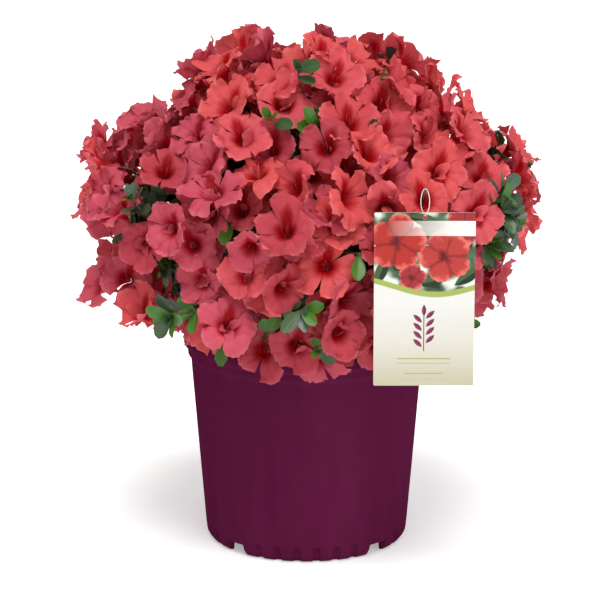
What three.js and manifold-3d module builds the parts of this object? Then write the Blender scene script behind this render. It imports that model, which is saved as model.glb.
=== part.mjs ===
// A flowering azalea shrub in a fluted plastic nursery pot, with a hang label on a thread loop.
// Millimetres, +Z up. The origin is the middle of the pot's flat underside, and -Y is the front.

import * as THREE from "three";
import { mergeVertices } from "three/addons/utils/BufferGeometryUtils.js";
import Module from "manifold-3d";

const wasm = await Module();
wasm.setup();

// ---------------------------------------------------------------- driving dimensions

const DEGREE = Math.PI / 180;
const GOLDEN_TURN = 137.508; // degrees from one shoot to the next
const GAP = 0.3; // between pieces that touch

const POT = {
  height: 241,
  lipRadius: 139.5,
  lipBottom: 229,
  lipWidth: 6.5,
  bandRadius: 134.8,
  bandTop: 226,
  bandBottom: 212,
  step: 3, // height of the slope from the wall out to the band
  wallTopRadius: 131.3,
  wallBottomRadius: 114.7,
  footRadius: 106,
  footBevel: 8,
  footTop: 30, // the fluted foot is thick up to here
  footWall: 7,
  wall: 2.2,
  segments: 48,
};
const FLUTE = { perQuadrant: 8, width: 8, height: 19, depth: 3.2 };
const DRAIN = { height: 11, depth: 12, width: 24 }; // one on each diagonal, in place of two flutes
const SOIL_TOP = 217;

const CROWN = {
  centre: new THREE.Vector3(2, 0, 330),
  radius: 250,
  bulge: { height: 28, elevation: 20, spread: 13 }, // how the crown swells at its widest
  crest: { height: 12, elevation: 65, spread: 9 }, // and round its flattish top
  hangElevation: -8, // below this it draws in over the pot
  hangPerDegree: 2.5,
  lowestElevation: -27,
  lobeDip: 26, // how far it sinks between two masses
  lobeEdge: 14, // degrees from there to its full radius
};
const RINGS = [
  { name: "skirt", count: 7, elevation: -13, turn: 180, trunkHeight: 250, coreAcross: 62 },
  { name: "flank", count: 8, elevation: 19, turn: 180, trunkHeight: 272, coreAcross: 55 },
  { name: "shoulder", count: 5, elevation: 49, turn: 198, trunkHeight: 294, coreAcross: 55 },
  { name: "top", count: 1, elevation: 88, turn: 0, coreAcross: 55 },
];
const TRUNK = {
  radius: 13,
  flareRadius: 21,
  flareHeight: 16,
  tipRadius: 5.5,
  top: 352,
  lean: 6,
  sides: 10,
  steps: 9,
};
const TRUNK_HEIGHT = TRUNK.top - SOIL_TOP;
const BOUGH = {
  baseRadius: 4.3,
  tipRadius: 2.8,
  tipShare: 0.43, // of the crown's radius
  sides: 5,
  steps: 4,
  sag: 9,
  stagger: 10, // in height, from one to the next
};
const CORE = { share: 0.64, up: 40, deep: 34 }; // its place in the crown's radius, and half sizes
const TWIG = { stemRadius: 2.6, stemSides: 6, baseRadius: 2.2, tipRadius: 1.4 };

const SHOOTS = {
  count: 142,
  seed: 20,
  turnJitter: 8,
  riseJitter: 4,
  depthJitter: 12,
  leafyShare: 0.13,
  tilt: 26,
};
const TUCKS = [0, 8, 16, 24, 32]; // how far a shoot draws in, as it straightens, until it finds room
const FLOWER = { radius: 33.5, notch: 0.6, lobeHalf: 19, depth: 30, throat: 11, notchDrop: 7 };
const LEAF = {
  length: 40,
  width: 17,
  thickness: 1.6,
  root: 1, // how far it is sunk past the middle of its twig
  stagger: 3,
  spread: 62, // degrees from the shoot's own way
  perFlower: 1,
  perRosette: 5,
  below: 7,
};

const LABEL = {
  width: 105,
  height: 186,
  thickness: 0.8,
  corner: 3,
  holeRadius: 2.6,
  holeDrop: 5,
  swing: 10, // degrees to each side
  pivot: new THREE.Vector3(122, -250, 455), // the middle of the twig that it hangs on
  hang: 22, // from the pivot down to the card's top edge
  bend: 14, // the twig's last stretch, square to the card
  overhang: 4, // what the twig reaches past the pivot
  roomBehind: 4,
  roomDepth: 150,
};
const LOOP = { radius: 0.6, peg: 1.6, slack: 4.2, wrap: 1.6, seat: 0.2, sides: 4, steps: 36 };

// ---------------------------------------------------------------- solids

const FINISH = {
  pot: [0x4a1230, 0.45],
  soil: [0x33241a, 1.0],
  bark: [0x6b5242, 0.9],
  blossom: [0xd8474f, 0.6],
  card: [0xf2efe4, 0.5],
  thread: [0xf4f1ea, 0.6],
};

function solidOf(geometry) {
  const bare = geometry.clone();
  bare.deleteAttribute("normal");
  bare.deleteAttribute("uv");
  const merged = mergeVertices(bare, 1e-3);
  return new wasm.Manifold(
    new wasm.Mesh({
      numProp: 3,
      vertProperties: new Float32Array(merged.attributes.position.array),
      triVerts: new Uint32Array(merged.index.array),
    }),
  );
}

function meshOf(name, solid, [color, roughness]) {
  const made = solid.getMesh();
  const geometry = new THREE.BufferGeometry();
  geometry.setAttribute("position", new THREE.BufferAttribute(made.vertProperties, 3));
  geometry.setIndex(new THREE.BufferAttribute(made.triVerts, 1));
  geometry.computeVertexNormals();
  const mesh = new THREE.Mesh(geometry, new THREE.MeshStandardMaterial({ color, roughness, metalness: 0 }));
  mesh.name = name;
  return mesh;
}

// The largest body of a solid: loose scraps and sealed hollows are left behind.
const wholeBody = (solid) => solid.decompose().reduce((a, b) => (b.volume() > a.volume() ? b : a));

function faceted(points, faces) {
  const geometry = new THREE.BufferGeometry();
  geometry.setAttribute("position", new THREE.BufferAttribute(new Float32Array(points.flat()), 3));
  geometry.setIndex(faces.flat());
  return geometry;
}

// A closed profile of [radius, height] pairs, turned round the Z axis.
function turned(profile, segments) {
  const points = profile.map(([radius, height]) => new THREE.Vector2(radius, height));
  return new THREE.LatheGeometry(points, segments).rotateX(Math.PI / 2);
}

// A tapering limb: a cylinder whose rings are laid along a curve.
function limb(curve, radiusAt, sides, steps) {
  const geometry = new THREE.CylinderGeometry(1, 1, 1, sides, steps);
  const frames = curve.computeFrenetFrames(steps);
  const place = geometry.attributes.position;
  for (let i = 0; i < place.count; i++) {
    const step = Math.round((place.getY(i) + 0.5) * steps);
    const point = curve.getPointAt(step / steps);
    const radius = radiusAt(step / steps);
    point.addScaledVector(frames.normals[step], place.getX(i) * radius);
    point.addScaledVector(frames.binormals[step], -place.getZ(i) * radius);
    place.setXYZ(i, point.x, point.y, point.z);
  }
  return geometry;
}

// A straight three-sided twig from one point to another.
function spoke(from, to, baseRadius, tipRadius, sides = 3) {
  const way = to.clone().sub(from);
  const geometry = new THREE.CylinderGeometry(tipRadius, baseRadius, way.length(), sides);
  const along = new THREE.Vector3(0, 1, 0);
  geometry.applyQuaternion(new THREE.Quaternion().setFromUnitVectors(along, way.normalize()));
  return geometry.translate(...from.clone().lerp(to, 0.5));
}

// The same numbers in the same order wherever this rule is written out.
function seeded(seed) {
  let state = seed;
  return () => {
    state = (Math.imul(state, 1664525) + 1013904223) >>> 0;
    return state / 4294967296;
  };
}

const direction = (azimuth, elevation) =>
  new THREE.Vector3(
    Math.cos(elevation * DEGREE) * Math.cos(azimuth * DEGREE),
    Math.cos(elevation * DEGREE) * Math.sin(azimuth * DEGREE),
    Math.sin(elevation * DEGREE),
  );

// ---------------------------------------------------------------- pot and soil

function wallRadius(height) {
  const share = (height - POT.footBevel) / (POT.bandBottom - POT.step - POT.footBevel);
  return POT.wallBottomRadius + (POT.wallTopRadius - POT.wallBottomRadius) * share;
}

function potSolid() {
  const profile = [
    [0, 0],
    [POT.footRadius, 0],
    [POT.wallBottomRadius, POT.footBevel],
    [POT.wallTopRadius, POT.bandBottom - POT.step],
    [POT.bandRadius, POT.bandBottom],
    [POT.bandRadius, POT.bandTop],
    [POT.lipRadius, POT.lipBottom],
    [POT.lipRadius, POT.height],
    [POT.lipRadius - POT.lipWidth, POT.height],
    [POT.wallTopRadius - POT.wall, POT.bandBottom - POT.step],
    [wallRadius(POT.footTop) - POT.wall, POT.footTop],
    [POT.wallBottomRadius - POT.footWall, POT.footTop - POT.footWall],
    [POT.wallBottomRadius - POT.footWall, POT.footBevel],
    [0, POT.footBevel],
  ];
  let pot = solidOf(turned(profile, POT.segments));
  const pitch = 90 / FLUTE.perQuadrant;
  for (let quadrant = 0; quadrant < 4; quadrant++) {
    for (let i = 0; i < FLUTE.perQuadrant; i++) {
      const atDrain = Math.abs(i + 0.5 - FLUTE.perQuadrant / 2) < 1;
      const turn = (quadrant * 90 + (i + 0.5) * pitch) * DEGREE;
      if (!atDrain) pot = pot.subtract(solidOf(fluteTool().rotateZ(turn)));
    }
    pot = pot.subtract(solidOf(drainTool().rotateZ((quadrant + 0.5) * 90 * DEGREE)));
  }
  return pot;
}

// An upright groove with a pointed top, which leans with the wall that it is cut into.
function fluteTool() {
  const half = FLUTE.width / 2;
  const groove = new THREE.Shape();
  groove.moveTo(-half, -5);
  groove.lineTo(half, -5);
  groove.lineTo(half, FLUTE.height - half);
  groove.lineTo(half / 2, FLUTE.height - half / 4);
  groove.lineTo(-half / 2, FLUTE.height - half / 4);
  groove.lineTo(-half, FLUTE.height - half);
  const tool = new THREE.ExtrudeGeometry(groove, { depth: 20, bevelEnabled: false });
  const lean = Math.atan2(wallRadius(POT.footTop) - wallRadius(0), POT.footTop);
  tool.rotateX(Math.PI / 2).rotateZ(Math.PI / 2).rotateY(lean);
  return tool.translate(wallRadius(0) - FLUTE.depth, 0, 0);
}

function drainTool() {
  const tool = new THREE.BoxGeometry(DRAIN.depth + 20, DRAIN.width, 2 * DRAIN.height);
  return tool.translate(POT.wallBottomRadius + 10 - DRAIN.depth / 2, 0, 0);
}

function soilSolid() {
  const clear = POT.wall + GAP;
  const footClear = POT.footWall + GAP;
  const profile = [
    [0, POT.footBevel + GAP],
    [POT.wallBottomRadius - footClear, POT.footBevel + GAP],
    [POT.wallBottomRadius - footClear, POT.footTop - footClear],
    [wallRadius(POT.footTop) - clear, POT.footTop],
    [POT.wallTopRadius - clear, POT.bandBottom - POT.step],
    [POT.wallTopRadius - clear, SOIL_TOP],
    [0, SOIL_TOP],
  ];
  return solidOf(turned(profile, POT.segments / 2));
}

// ---------------------------------------------------------------- crown

const masses = RINGS.flatMap((ring) =>
  Array.from({ length: ring.count }, (_, i) => ({
    name: ring.count > 1 ? `${ring.name}_${i + 1}` : ring.name,
    toward: direction(ring.turn + (i * 360) / ring.count, ring.elevation),
    trunkHeight: ring.trunkHeight + (i % 2) * BOUGH.stagger,
    coreAcross: ring.coreAcross,
    shoots: [],
  })),
);

const swell = ({ height, elevation, spread }, at) => height * Math.exp(-(((at - elevation) / spread) ** 2));

// The crown's radius in a direction: a flat-topped dome that sinks between its masses.
function crownRadius(toward) {
  const elevation = Math.asin(toward.z) / DEGREE;
  const angles = masses.map((mass) => mass.toward.angleTo(toward) / DEGREE);
  const [nearest, second] = angles.sort((a, b) => a - b);
  const hang = CROWN.hangPerDegree * Math.max(0, CROWN.hangElevation - elevation);
  const edge = Math.max(0, 1 - (second - nearest) / CROWN.lobeEdge);
  const dome = CROWN.radius + swell(CROWN.bulge, elevation) + swell(CROWN.crest, elevation);
  return dome - hang - CROWN.lobeDip * edge ** 2;
}

const crownPoint = (toward, radius) => CROWN.centre.clone().addScaledVector(toward, radius);
const coreCentre = (mass) => crownPoint(mass.toward, crownRadius(mass.toward) * CORE.share);

// Shoots end all over the crown's outline, a golden turn apart, each in the mass that it is nearest to.
function plotShoots() {
  const random = seeded(SHOOTS.seed);
  const lowest = Math.sin(CROWN.lowestElevation * DEGREE);
  for (let i = 0; i < SHOOTS.count; i++) {
    const rise = 1 + ((lowest - 1) * (i + 0.5)) / SHOOTS.count;
    const azimuth = i * GOLDEN_TURN + (random() - 0.5) * SHOOTS.turnJitter;
    const elevation = Math.asin(rise) / DEGREE + (random() - 0.5) * SHOOTS.riseJitter;
    const toward = direction(azimuth, elevation);
    const radius = crownRadius(toward) - random() * SHOOTS.depthJitter;
    const leafy = random() < SHOOTS.leafyShare;
    const tilt = direction(random() * 360, 0).multiplyScalar(random() * SHOOTS.tilt * DEGREE);
    const roll = random() * 2 * Math.PI;
    const mass = masses.reduce((a, b) => (b.toward.dot(toward) > a.toward.dot(toward) ? b : a));
    mass.shoots.push({ toward, radius, leafy, tilt, roll });
  }
}

// A frame whose Z points out of the crown, tipped and rolled as the shoot is.
function shootFrame(shoot, tuck) {
  const straight = 1 - tuck / TUCKS.at(-1);
  const lean = shoot.tilt.clone().multiplyScalar(straight);
  const turn = new THREE.Quaternion().setFromUnitVectors(new THREE.Vector3(0, 0, 1), shoot.toward);
  turn.multiply(new THREE.Quaternion().setFromEuler(new THREE.Euler(lean.x, lean.y, shoot.roll)));
  const place = crownPoint(shoot.toward, shoot.radius - tuck);
  return new THREE.Matrix4().compose(place, turn, new THREE.Vector3(1, 1, 1));
}

// A funnel of five lobes that faces +Z, with its rim about the origin and its root below.
function flowerGeometry() {
  const rim = [];
  for (let lobe = 0; lobe < 5; lobe++) {
    for (const [turn, reach, drop] of [
      [0, FLOWER.notch, FLOWER.notchDrop],
      [36 - FLOWER.lobeHalf, 1, 0],
      [36 + FLOWER.lobeHalf, 1, 0],
    ]) {
      const angle = (lobe * 72 + turn) * DEGREE;
      const radius = FLOWER.radius * reach;
      rim.push([radius * Math.cos(angle), radius * Math.sin(angle), -drop]);
    }
  }
  const count = rim.length;
  const faces = rim.flatMap((_, i) => [
    [i, (i + 1) % count, count],
    [(i + 1) % count, i, count + 1],
  ]);
  return faceted([...rim, [0, 0, -FLOWER.throat], [0, 0, -FLOWER.depth]], faces);
}

// A leaf along +X with its root at the origin: eight faces, thickest in the middle.
function leafGeometry() {
  const half = LEAF.width / 2;
  const middle = LEAF.length * 0.45;
  const thick = LEAF.thickness / 2;
  const points = [
    [0, 0, 0],
    [middle, half, 0],
    [LEAF.length, 0, 0],
    [middle, -half, 0],
    [middle, 0, thick],
    [middle, 0, -thick],
  ];
  const faces = [0, 1, 2, 3].flatMap((i) => [
    [(i + 1) % 4, i, 4],
    [i, (i + 1) % 4, 5],
  ]);
  return faceted(points, faces);
}

// A piece of growth, and a slightly larger one that stands for the room it needs.
function growth(geometry, size, frame) {
  const room = geometry.clone().scale(...size.map((side) => (side + 2 * GAP) / side));
  return {
    solid: solidOf(geometry.clone().applyMatrix4(frame)),
    room: solidOf(room.applyMatrix4(frame)),
  };
}

const isClear = (room, others) => others.every((other) => room.intersect(other).isEmpty());

const flower = (frame) =>
  growth(flowerGeometry(), [FLOWER.radius * 2, FLOWER.radius * 2, FLOWER.depth], frame);

// Leaves stand round a shoot just under its end, each turned from the last by a golden turn.
function leaves(frame, count, height) {
  return Array.from({ length: count }, (_, i) => {
    const turn = new THREE.Matrix4().makeRotationZ(i * GOLDEN_TURN * DEGREE);
    const lift = new THREE.Matrix4().makeRotationY(-(90 - LEAF.spread) * DEGREE);
    const sink = new THREE.Matrix4().makeTranslation(-LEAF.root, 0, 0);
    const base = new THREE.Matrix4().makeTranslation(0, 0, height - i * LEAF.stagger);
    const matrix = frame.clone().multiply(base).multiply(turn).multiply(lift).multiply(sink);
    return growth(leafGeometry(), [LEAF.length, LEAF.width, LEAF.thickness], matrix);
  });
}

// The dense inside of a mass: wider than it is high, and flattest along the way out.
function coreSolid(mass, middle) {
  const across = new THREE.Vector3(0, 0, 1).cross(mass.toward).normalize();
  const frame = new THREE.Matrix4().makeBasis(across, mass.toward.clone().cross(across), mass.toward);
  const core = new THREE.IcosahedronGeometry(1, 1).scale(mass.coreAcross, CORE.up, CORE.deep);
  return solidOf(core.applyMatrix4(frame).translate(...middle));
}

// One mass: a stem from its bough, a core, and shoots that end in a flower or a rosette of leaves.
function massSolid(mass, others) {
  const middle = coreCentre(mass);
  const core = coreSolid(mass, middle);
  const stem = spoke(mass.stemStart, middle, TWIG.stemRadius, TWIG.stemRadius, TWIG.stemSides);
  let solid = core.add(solidOf(stem));
  const keepOff = [...others, core];
  for (const shoot of mass.shoots) {
    for (const tuck of TUCKS) {
      const frame = shootFrame(shoot, tuck);
      const root = new THREE.Vector3(0, 0, 1.5 - FLOWER.depth).applyMatrix4(frame);
      const end = new THREE.Vector3(0, 0, 4 - FLOWER.depth).applyMatrix4(frame);
      const twig = solidOf(spoke(middle, end, TWIG.baseRadius, TWIG.tipRadius));
      const head = shoot.leafy ? [] : [flower(frame)];
      const leafCount = shoot.leafy ? LEAF.perRosette : LEAF.perFlower;
      const tufts = leaves(frame, leafCount, -FLOWER.depth - LEAF.below);
      if (!isClear(twig, others) || !head.every((piece) => isClear(piece.room, keepOff))) continue;
      const grown = [...head, ...tufts.filter((leaf) => isClear(leaf.room, keepOff))];
      solid = grown.reduce((whole, piece) => whole.add(piece.solid), solid.add(twig));
      keepOff.push(...grown.map((piece) => piece.solid));
      break;
    }
  }
  return wholeBody(solid);
}

// ---------------------------------------------------------------- trunk and boughs

function trunkCurve() {
  return new THREE.CatmullRomCurve3([
    new THREE.Vector3(-2, 0, SOIL_TOP),
    new THREE.Vector3(-1, 0, SOIL_TOP + 40),
    new THREE.Vector3(TRUNK.lean, 0, TRUNK.top),
  ]);
}

// It tapers to its tip, flares at its root and is cut flat on the soil; the margin is added all round.
function trunkSolid(curve, margin) {
  const radiusAt = (along) => {
    const taper = (TRUNK.tipRadius - TRUNK.radius) * along;
    const flare = Math.exp((-along * TRUNK_HEIGHT) / TRUNK.flareHeight);
    return TRUNK.radius + taper + (TRUNK.flareRadius - TRUNK.radius) * flare + margin;
  };
  const depth = 20;
  const ground = new THREE.BoxGeometry(100, 100, depth).translate(0, 0, SOIL_TOP + GAP - depth / 2);
  return solidOf(limb(curve, radiusAt, TRUNK.sides, TRUNK.steps)).subtract(solidOf(ground));
}

// From inside the trunk, in a low arch, to the foot of its mass; the swollen trunk is then cut away.
function boughCurve(mass, trunk) {
  const start = trunk.getPointAt((mass.trunkHeight - SOIL_TOP) / TRUNK_HEIGHT);
  const end = crownPoint(mass.toward, crownRadius(mass.toward) * BOUGH.tipShare);
  const between = start.clone().lerp(end, 0.5);
  between.z -= BOUGH.sag;
  return new THREE.QuadraticBezierCurve3(start, between, end);
}

// A mass's stem starts just past the tip of its limb, and no corner of it comes nearer than the gap.
function stemStart(mass, curve) {
  const tip = curve.getPointAt(1);
  const along = curve.getTangentAt(1);
  const way = coreCentre(mass).sub(tip);
  return tip.addScaledVector(along, GAP + TWIG.stemRadius * Math.sin(along.angleTo(way)));
}

// ---------------------------------------------------------------- label

function cardSolid() {
  const { width, height, corner, hang, holeRadius, holeDrop, thickness, pivot } = LABEL;
  const card = new THREE.Shape();
  const half = width / 2;
  card.moveTo(-half + corner, -hang - height);
  card.lineTo(half - corner, -hang - height);
  card.lineTo(half, -hang - height + corner);
  card.lineTo(half, -hang - corner);
  card.lineTo(half - corner, -hang);
  card.lineTo(-half + corner, -hang);
  card.lineTo(-half, -hang - corner);
  card.lineTo(-half, -hang - height + corner);
  const hole = new THREE.Path();
  hole.absarc(0, -hang - holeDrop, holeRadius, 0, 2 * Math.PI, true);
  card.holes.push(hole);
  const options = { depth: thickness, bevelEnabled: false, curveSegments: 8 };
  const blade = new THREE.ExtrudeGeometry(card, options);
  blade.translate(0, 0, -thickness / 2).rotateX(Math.PI / 2);
  return solidOf(blade.translate(...pivot));
}

// A thread round the twig, down both faces of the card and through its hole.
function loopSolid() {
  const over = LOOP.peg + GAP + LOOP.radius + LOOP.seat;
  const web = -LABEL.hang - LABEL.holeDrop + LABEL.holeRadius + 2 * LOOP.seat;
  const half = [
    [over, 0, 0],
    [LOOP.slack, -0.6, -8],
    [LOOP.slack * 0.5, -LOOP.wrap, web * 0.75],
    [0, -LOOP.wrap, web],
  ];
  const other = half.map(([x, y, z]) => [-x, -y, z]).reverse();
  const points = [[0, 0, over], ...half, [0, 0, web - LOOP.wrap], ...other];
  const curve = new THREE.CatmullRomCurve3(
    points.map((point) => new THREE.Vector3(...point).add(LABEL.pivot)),
    true,
  );
  const geometry = new THREE.TorusGeometry(1, 0.5, LOOP.sides, LOOP.steps);
  const frames = curve.computeFrenetFrames(LOOP.steps, true);
  const place = geometry.attributes.position;
  for (let i = 0; i < place.count; i++) {
    const step = (i % (LOOP.steps + 1)) % LOOP.steps;
    const angle = (Math.floor(i / (LOOP.steps + 1)) / LOOP.sides) * 2 * Math.PI;
    const point = curve.getPointAt(step / LOOP.steps);
    point.addScaledVector(frames.normals[step], Math.cos(angle) * LOOP.radius);
    point.addScaledVector(frames.binormals[step], -Math.sin(angle) * LOOP.radius);
    place.setXYZ(i, point.x, point.y, point.z);
  }
  return solidOf(geometry);
}

// The air that the card and its loop swing through, and all that lies in front of it.
function labelRoom() {
  const reach = LABEL.hang + LABEL.height;
  const side = LABEL.width / 2 + reach * Math.sin(LABEL.swing * DEGREE) + 2;
  const room = new THREE.BoxGeometry(2 * side, LABEL.roomDepth, reach + 14);
  room.translate(0, LABEL.roomBehind - LABEL.roomDepth / 2, -reach / 2);
  return solidOf(room.translate(...LABEL.pivot));
}

// The twig that the loop hangs on runs out to the card from the mass behind it.
function hangingTwig(mass) {
  const bend = LABEL.pivot.clone().add(new THREE.Vector3(0, LABEL.bend, 0));
  const end = LABEL.pivot.clone().add(new THREE.Vector3(0, -LABEL.overhang, 0));
  const inner = solidOf(spoke(coreCentre(mass), bend, TWIG.baseRadius, LOOP.peg));
  const back = bend.clone().add(new THREE.Vector3(0, 1, 0));
  return inner.add(solidOf(spoke(back, end, LOOP.peg, LOOP.peg, 8)));
}

// ---------------------------------------------------------------- the assembly

const group = new THREE.Group();
const pot = potSolid();
const soil = soilSolid();
group.add(meshOf("pot", pot, FINISH.pot));
group.add(meshOf("soil", soil, FINISH.soil));

const trunkLine = trunkCurve();
const trunk = trunkSolid(trunkLine, 0);
const swollenTrunk = trunkSolid(trunkLine, GAP);
group.add(meshOf("trunk", trunk, FINISH.bark));

const others = [pot, soil, swollenTrunk, labelRoom()];
for (const mass of masses) {
  mass.stemStart = stemStart(mass, trunkLine);
  if (mass.name === "top") continue;
  const curve = boughCurve(mass, trunkLine);
  const radiusAt = (along) => BOUGH.baseRadius + (BOUGH.tipRadius - BOUGH.baseRadius) * along;
  const bough = wholeBody(solidOf(limb(curve, radiusAt, BOUGH.sides, BOUGH.steps)).subtract(swollenTrunk));
  group.add(meshOf(`bough_${mass.name}`, bough, FINISH.bark));
  others.push(bough);
  mass.stemStart = stemStart(mass, curve);
}

plotShoots();
const labelWay = LABEL.pivot.clone().sub(CROWN.centre).normalize();
const labelMass = masses.reduce((a, b) => (b.toward.dot(labelWay) > a.toward.dot(labelWay) ? b : a));
const peg = hangingTwig(labelMass);
for (const mass of masses) {
  const keepOff = mass === labelMass ? others : [...others, peg];
  let solid = massSolid(mass, keepOff);
  if (mass === labelMass) solid = wholeBody(solid.add(peg));
  group.add(meshOf(`blossom_${mass.name}`, solid, FINISH.blossom));
  others.push(solid);
}

group.add(meshOf("label_card", cardSolid(), FINISH.card));
group.add(meshOf("label_loop", loopSolid(), FINISH.thread));

export default group;
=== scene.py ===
"""The looks of a potted azalea in bloom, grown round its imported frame.

Growth is worked out in millimetres by the same seeded rule as the solids, carried on to finer twigs,
and a piece turns to metres when its mesh is made. -Y is the front.
"""

import math

import bpy
import numpy as np
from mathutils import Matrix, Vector
from mathutils.geometry import delaunay_2d_cdt as delaunay


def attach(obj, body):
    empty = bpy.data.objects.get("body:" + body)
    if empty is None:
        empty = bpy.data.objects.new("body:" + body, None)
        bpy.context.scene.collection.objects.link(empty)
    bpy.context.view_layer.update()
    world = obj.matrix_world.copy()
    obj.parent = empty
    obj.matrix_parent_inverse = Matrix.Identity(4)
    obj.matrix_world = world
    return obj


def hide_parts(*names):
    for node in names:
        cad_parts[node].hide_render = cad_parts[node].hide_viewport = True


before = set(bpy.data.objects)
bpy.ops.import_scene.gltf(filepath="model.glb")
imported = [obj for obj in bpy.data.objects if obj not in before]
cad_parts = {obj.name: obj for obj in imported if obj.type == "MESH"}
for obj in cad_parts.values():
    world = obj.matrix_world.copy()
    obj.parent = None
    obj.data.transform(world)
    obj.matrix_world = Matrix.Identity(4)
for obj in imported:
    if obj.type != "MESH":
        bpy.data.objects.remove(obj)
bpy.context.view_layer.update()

MM = 0.001
DEGREE = math.pi / 180
GOLDEN_TURN = 137.508  # degrees from one shoot to the next
UP = np.array([0.0, 0.0, 1.0])

# ---------------------------------------------------------------- driving dimensions, millimetres

POT_HEIGHT = 241
LIP_RADIUS = 139.5
LIP_BOTTOM = 229
BAND_RADIUS = 134.8
BAND_TOP = 226
WALL_TOP_RADIUS = 131.3
WALL_BOTTOM_RADIUS = 114.7
FOOT_RADIUS = 106
FOOT_BEVEL = 8
FLUTE_PITCHES = 32
FLUTE_WIDTH = 8
FLUTE_HEIGHT = 18
FLUTE_DEPTH = 3.2
DRAIN_HEIGHT = 14
GROOVE = (60, 104)  # radii of the groove under the pot that the drains open into
DRAIN_WIDTH = 27
SOIL_TOP = 217
SOIL_RADIUS = 128.5

CROWN_CENTRE = np.array([2.0, 0.0, 330.0])
CROWN_RADIUS = 250
BULGE = (28, 20, 13)  # height, and the elevation and spread of it in degrees
CREST = (12, 65, 9)
HANG_ELEVATION, HANG_PER_DEGREE, LOWEST_ELEVATION = -8, 2.5, -27
LOBE_DIP, LOBE_EDGE = 26, 14
RINGS = (
    # name, masses, elevation, turn, height on the trunk
    ("skirt", 7, -13, 180, 250),
    ("flank", 8, 19, 180, 272),
    ("shoulder", 5, 49, 198, 294),
    ("top", 1, 88, 0, None),
)
CORE_SHARE = 0.64
BOUGH_SHARE, BOUGH_STAGGER, BOUGH_SAG = 0.43, 10, 9
BOUGH_BASE, BOUGH_TIP = 4.3, 2.8
TRUNK_TOP, TRUNK_LEAN = 352, 6
TRUNK_RADIUS, TRUNK_TIP, FLARE_RADIUS, FLARE_HEIGHT = 13, 5.5, 21, 16

SHOOTS = 440
SHOOT_SEED = 20
TURN_JITTER, RISE_JITTER, DEPTH_JITTER = 9, 4, 13
LEAFY_SHARE = 0.1  # of the shoots behind, where no spots are listed
TILT = 50  # degrees at most from the way out
ROSETTE_TILT = 24
FLOWER_DEPTH = 30
FLOWER_SPACING = 33
TUCKS = (0, 7, 14, 21, 28, 35)  # how far a shoot draws in until it finds room
LEAFY_SPOTS = (  # azimuth and elevation of rosettes of leaves, and how far each stands out past the blossom
    (325, 22, 4), (327, 15, 3), (319, 11, 0), (324, 5, 3), (318, -1, 0), (311, 61, 0), (264, 64, -2),
    (254, 51, -12), (293, 47, -10), (220, 21, -9), (262, -3, -2), (268, -2, 3), (246, -12, 0),
    (272, -13, 2), (256, -13, -4), (239, -4, -7), (232, -6, -2), (283, 13, -15), (322, 18, 5),
    (312, -9, 0), (322, -12, 0),
)
# azimuth and elevation of shaded gaps, where a rosette grows deep in the crown
HOLLOWS = ((274, 52), (276, 29), (247, 22), (219, 8), (120, 40), (170, -3))
SPOT_REACH = 5.0  # degrees
HOLLOW_REACH = 3.4
HOLLOW_DEPTH = 18
OUTWARD = 1.0  # how far flowers near the top lean out
TRUSSES = 150  # clusters that the shoots gather in
GATHER = 0.3  # how far a shoot moves towards the middle of its truss
DIPS = (  # azimuth and elevation of dents in the outline, depth (below 0 a swelling), and both spreads
    (0, -16, 52, 34, 8), (0, 3, 38, 32, 6), (0, 37, -16, 36, 7), (0, 64, -6, 40, 7),
    (180, 8, 46, 34, 6), (184, -18, 98, 44, 8), (182, -3, -20, 30, 6), (182, 22, -16, 34, 7),
    (180, 33, 8, 38, 4), (180, 46, -12, 38, 6), (180, 60, 4, 40, 6), (180, 72, -14, 46, 6),
    (270, 88, 16, 60, 9),
)
INSET = 6  # from the outline in to where the outermost flowers open

LABEL_PIVOT = np.array([122.0, -250.0, 455.0])
LABEL_HANG = 22
LABEL_WIDTH, LABEL_HEIGHT, LABEL_THICKNESS, LABEL_CORNER = 105, 186, 0.8, 1.6
LABEL_SWING = 10
HOLE_DROP, HOLE_RADIUS = 5, 2.6
PEG_RADIUS = 1.6
THREAD_RADIUS, THREAD_SLACK, THREAD_WRAP = 0.5, 4.4, 1.6

# ---------------------------------------------------------------- numbers and shapes


def seeded(seed):
    """The source's own run of numbers."""
    state = seed

    def draw():
        nonlocal state
        state = (state * 1664525 + 1013904223) % 2**32
        return state / 2**32

    return draw


def direction(azimuth, elevation):
    flat = math.cos(elevation * DEGREE)
    x, y = flat * math.cos(azimuth * DEGREE), flat * math.sin(azimuth * DEGREE)
    return np.array([x, y, math.sin(elevation * DEGREE)])


def unit(vector):
    return vector / np.linalg.norm(vector)


def smooth(low, high, value):
    share = np.clip((value - low) / (high - low), 0, 1)
    return share * share * (3 - 2 * share)


def through(places, values, at):
    """A smooth curve of values over places, read where it is asked for."""
    places, values = np.array(places, dtype=float), np.array(values, dtype=float)
    slopes = np.gradient(values, places)
    i = np.clip(np.searchsorted(places, at, side="right") - 1, 0, len(places) - 2)
    span = places[i + 1] - places[i]
    t = (at - places[i]) / span
    start = (1 + 2 * t) * (1 - t) ** 2 * values[i] + t * (1 - t) ** 2 * span * slopes[i]
    return start + t**2 * (3 - 2 * t) * values[i + 1] + t**2 * (t - 1) * span * slopes[i + 1]


def turned(axis, roll=0.0):
    """Columns of a frame whose Z is the axis and whose Y leans up, rolled about it."""
    z = unit(axis)
    side = np.cross(UP, z)
    x = unit(side) if np.linalg.norm(side) > 1e-6 else np.array([1.0, 0.0, 0.0])
    y = np.cross(z, x)
    cos, sin = math.cos(roll), math.sin(roll)
    return np.column_stack([x * cos + y * sin, y * cos - x * sin, z])


def grid_faces(rows, columns, closed=False):
    """Quads of a grid of points that is stored row by row."""
    faces = []
    for row in range(rows - 1):
        for column in range(columns if closed else columns - 1):
            after = (column + 1) % columns
            low, high = row * columns, (row + 1) * columns
            faces.append((low + column, low + after, high + after, high + column))
    return faces


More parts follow.
